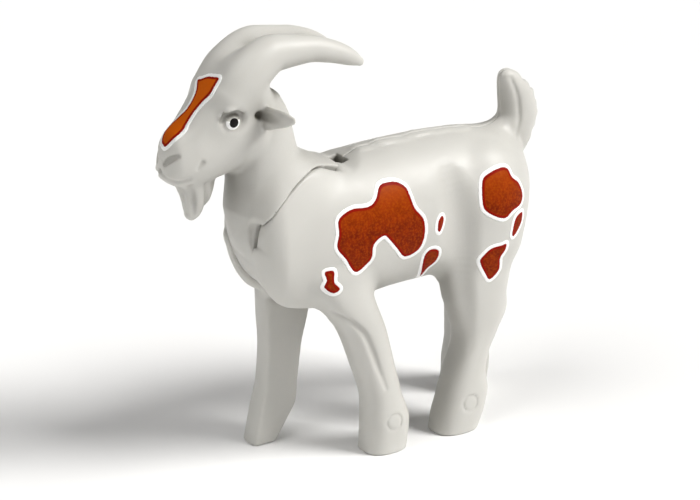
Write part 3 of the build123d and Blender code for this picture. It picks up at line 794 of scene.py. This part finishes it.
def shape_neck_piece(clay):
    """Neck with its skirt, and the web, hub and tongue inside the shoulders."""
    X, Y, Z = clay.grid()[1]
    radius, angle = polar(Y, Z)
    middle = smooth_max(np.abs(X) - 3.0, 0, 0.8)
    # The skirt stands a little proud of the shoulders, less and less towards the back.
    clay.field -= progress(angle, *FLARE[:2]) * FLARE[2] * np.clip(middle, 0, 1)
    # Below the skirt the neck's front sinks between the lips of the chest, down to the tongue.
    below_skirt = np.clip(angle - SINK[0], 0, SINK[1])
    clay.field += SINK[2] * below_skirt * (np.abs(X) < 4)
    skirt = np.maximum(wedge(radius, angle, *SKIRT), shoulder(angle, NOD_UP) + SKIRT_GAP - radius)
    front = np.maximum(np.abs(X) - TONGUE_HALF, wedge(radius, angle, SKIRT[0], SKIRT_FRONT))
    front = np.maximum(front, HUB_R - 1 - radius)
    # The skirt's rim is crisp, apart from its lower front corners.
    corner = progress(angle, *SOFT_CORNER) * np.clip(np.abs(X) - 3.3, 0, 1)
    clay.field = smooth_max(clay.field, smooth_min(skirt, front, 1.6), 0.14 + 1.3 * corner)
    half = np.abs(X) - TONGUE_HALF
    web = np.maximum(wedge(radius, angle, *WEB), np.maximum(radius - WEB_R, half))
    hub = np.maximum(radius - HUB_R, half)
    tongue = np.maximum(loft(TONGUE, 2, power=3.0)(X, Y, Z), HUB_R - 1 - radius)
    tongue = np.maximum(tongue, TONGUE_TOP - angle)
    clay.field = smooth_min(clay.field, np.minimum(web, tongue), 1.0)
    clay.field = np.minimum(clay.field, hub).astype(np.float32)


def head_and_neck():
    """The whole moulding that nods."""
    clay = Clay((-12.1, -33, 21.8), (12.1, 2.4, 65), HEAD_VOXEL)
    shape_body(clay)
    shape_neck_piece(clay)
    shape_head(clay)
    return clay


for side, name in ((1, "left"), (-1, "right")):
    clay = body_half(side)
    piece(f"{name}_body_shell", *clay.skin(), white, "body", "white_plastic", f"{name}_body_half")
clay = head_and_neck()
piece("head_and_neck_moulding", *clay.skin(), white, "head", "white_plastic", "head_and_neck")


# ---- prints ----
def closed_curve(points, steps=8):
    """Smooth closed curve through the points."""
    points = np.array(points, float)
    before, ahead, after = np.roll(points, 1, 0), np.roll(points, -1, 0), np.roll(points, -2, 0)
    curve = []
    for t in np.arange(steps) / steps:
        squared = (2 * before - 5 * points + 4 * ahead - after) * t ** 2
        cubed = (3 * points - before - 3 * ahead + after) * t ** 3
        curve.append(0.5 * (2 * points + (ahead - before) * t + squared + cubed))
    return np.stack(curve, 1).reshape(-1, 2)


def outline_distance(outline, U, V):
    """Signed distance from a closed outline, less than zero inside it."""
    shape = np.broadcast(U, V).shape
    best, inside = np.full(shape, 1e9), np.zeros(shape, bool)
    for (u0, v0), (u1, v1) in zip(outline, np.roll(outline, -1, 0)):
        run_u, run_v = u1 - u0, v1 - v0
        t = np.clip(((U - u0) * run_u + (V - v0) * run_v) / (run_u ** 2 + run_v ** 2 + 1e-12), 0, 1)
        best = np.minimum(best, (U - u0 - t * run_u) ** 2 + (V - v0 - t * run_v) ** 2)
        crossed = ((v0 > V) != (v1 > V)) & (U < u0 + (V - v0) * run_u / (run_v if run_v else 1e-12))
        inside ^= crossed
    return np.where(inside, -1, 1) * np.sqrt(best)


def printed_layer(name, clay, flat, body, material, slot_name, proud, node=None, edge=None):
    """Thin layer on the skin of a form, within a flat region seen along the print's own view."""
    steep = np.sqrt(sum(g ** 2 for g in np.gradient(clay.field, clay.voxel)))
    skin = clay.field / np.clip(steep, 0.4, 2.5)
    layer = Clay(clay.low, [axis[-1] for axis in clay.axes], clay.voxel)
    layer.field = np.maximum(np.maximum(skin - proud, -skin - LAYER_DEPTH), flat).astype(np.float32)
    points, faces = layer.skin()
    obj = piece(name, points, faces, material, body, slot_name, node)
    if edge is not None:
        attribute = obj.data.attributes.new("edge", "FLOAT", "POINT")
        attribute.data.foreach_set("value", edge(points).astype(np.float32))


def print_patch(node, clay, view, outline, body):
    """Brown patch with its rim, on a slightly larger white underprint."""
    flat = outline_distance(outline, *view(*clay.grid()[1]))
    printed_layer(f"{node}_ink", clay, flat, body, patch_ink, "patch_ink", INK_PROUD, node,
                  lambda points: -outline_distance(outline, *view(*points.T)))
    ring = np.maximum(flat - UNDERPRINT_WIDTH, -flat - UNDERPRINT_LAP)
    printed_layer(f"{node}_underprint", clay, ring, body, underprint, "underprint", UNDERPRINT_PROUD)


def from_the_side(X, Y, Z):
    """View in which the outlines of the flanks' prints are given."""
    return Y, Z


def up_the_face(X, Y, Z):
    """View in which the outline of the blaze is given."""
    return X + 0 * Y, (Y - BLAZE_MIDDLE[0]) * BLAZE_UP[0] + (Z - BLAZE_MIDDLE[1]) * BLAZE_UP[1]


for node, (side, outline) in PRINTS.items():
    outline = closed_curve(outline)
    low, high = outline.min(0) - PRINT_MARGIN, outline.max(0) + PRINT_MARGIN
    low_x, high_x = sorted(side * x for x in FLANK_SPAN)
    clay = Clay((low_x, *low), (high_x, *high), PRINT_VOXEL)
    shape_body(clay)
    print_patch(node, clay, from_the_side, outline, "body")

clay = Clay((-4, -33, 46.5), (4, -20.4, 61.5), PRINT_VOXEL)
shape_body(clay)
shape_head(clay)
print_patch("face_blaze", clay, up_the_face, closed_curve(BLAZE), "head")

for side, node in ((1, "left_eye"), (-1, "right_eye")):
    low, high = np.array(EYE) - EYE_MARGIN, np.array(EYE) + EYE_MARGIN
    low_x, high_x = sorted(side * x for x in EYE_SPAN)
    clay = Clay((low_x, *low), (high_x, *high), EYE_VOXEL)
    shape_head(clay)
    X, Y, Z = clay.grid()[1]
    flat = np.sqrt((Y - EYE[0]) ** 2 + (Z - EYE[1]) ** 2) - EYE_R
    printed_layer(f"{node}_ink", clay, flat, "head", eye_ink, "eye_ink", EYE_INK_PROUD, node)
    # The white shows below and beside the pupil; the upper lid's shadow is above it.
    ring = np.maximum(flat - EYE_WHITE_WIDTH, -flat - EYE_WHITE_LAP)
    ring = np.maximum(ring, Z - EYE[1] - EYE_WHITE_TOP)
    printed_layer(f"{node}_white", clay, ring, "head", underprint, "underprint", EYE_WHITE_PROUD)


# ---- camera, light and floor ----
AZIMUTH, ELEVATION = math.radians(58), math.radians(21)
DISTANCE = 330 * MM
LENS = 120.5                  # mm
SHIFT = (0.0071, -0.0094)
DAYLIGHT = (1.0, 0.99, 0.97)
# Far lights: where each comes from, its strength, and how wide it is in radians.
SUNS = {
    "key": ((0.85, 0.92, 1.25), 3.4, 0.45),
    "top": ((0.05, -0.60, 1.0), 1.10, 0.6),
}
AMBIENT = 0.09
FLOOR_REACH = 3.0             # metres, so that its edge is far behind the goat

aim = np.array([0, -1.5, 30.0]) * MM
level = math.cos(ELEVATION)
towards = np.array([math.sin(AZIMUTH) * level, -math.cos(AZIMUTH) * level, math.sin(ELEVATION)])


def look(obj, place, target):
    """Put an object at a place and turn it to a target."""
    obj.location = Vector(place)
    obj.rotation_euler = (Vector(target) - Vector(place)).to_track_quat("-Z", "Y").to_euler()


def light(name, kind, place, energy, colour, **settings):
    """Lamp of a kind, turned to the goat."""
    lamp = bpy.data.objects.new(name, bpy.data.lights.new(name, kind))
    lamp.data.energy = energy
    lamp.data.color = colour
    for key, value in settings.items():
        setattr(lamp.data, key, value)
    bpy.context.scene.collection.objects.link(lamp)
    look(lamp, place, aim)


camera = bpy.data.objects.new("camera", bpy.data.cameras.new("camera"))
bpy.context.scene.collection.objects.link(camera)
camera.data.lens = LENS
camera.data.shift_x, camera.data.shift_y = SHIFT
camera.data.clip_start, camera.data.clip_end = 0.01, 20
look(camera, aim + towards * DISTANCE, aim)
bpy.context.scene.camera = camera
bpy.context.scene.view_settings.view_transform = "Standard"

for name, (place, strength, spread) in SUNS.items():
    light(name, "SUN", place, strength, DAYLIGHT, angle=spread)
light("fill", "AREA", (-0.60, -0.60, 0.30), 0.20, (0.98, 0.98, 1.0), shape="DISK", size=0.30)

world = bpy.data.worlds.new("studio")
bpy.context.scene.world = world
world.use_nodes = True
studio = world.node_tree
ambient = studio.nodes["Background"]
ambient.inputs["Color"].default_value = (1.0, 1.0, 1.0, 1)
ambient.inputs["Strength"].default_value = AMBIENT
# Behind the floor's edge the view is white, without that white lighting the goat.
backdrop = studio.nodes.new("ShaderNodeBackground")
backdrop.inputs["Color"].default_value = (1.0, 1.0, 1.0, 1)
seen = studio.nodes.new("ShaderNodeLightPath")
either = studio.nodes.new("ShaderNodeMixShader")
studio.links.new(seen.outputs["Is Camera Ray"], either.inputs[0])
studio.links.new(ambient.outputs[0], either.inputs[1])
studio.links.new(backdrop.outputs[0], either.inputs[2])
studio.links.new(either.outputs[0], studio.nodes["World Output"].inputs["Surface"])

floor_mesh = bpy.data.meshes.new("floor")
corners = [(FLOOR_REACH * x, FLOOR_REACH * y, 0) for x, y in ((-1, -1), (1, -1), (1, 1), (-1, 1))]
floor_mesh.from_pydata(corners, [], [(0, 1, 2, 3)])
floor = bpy.data.objects.new("floor", floor_mesh)
floor.location.z = -0.02 * MM
bpy.context.scene.collection.objects.link(floor)
floor_mesh.materials.append(inked("floor_paper", (0.91, 0.91, 0.91), (0.92, 0.92, 0.92), 0.9, 40.0))
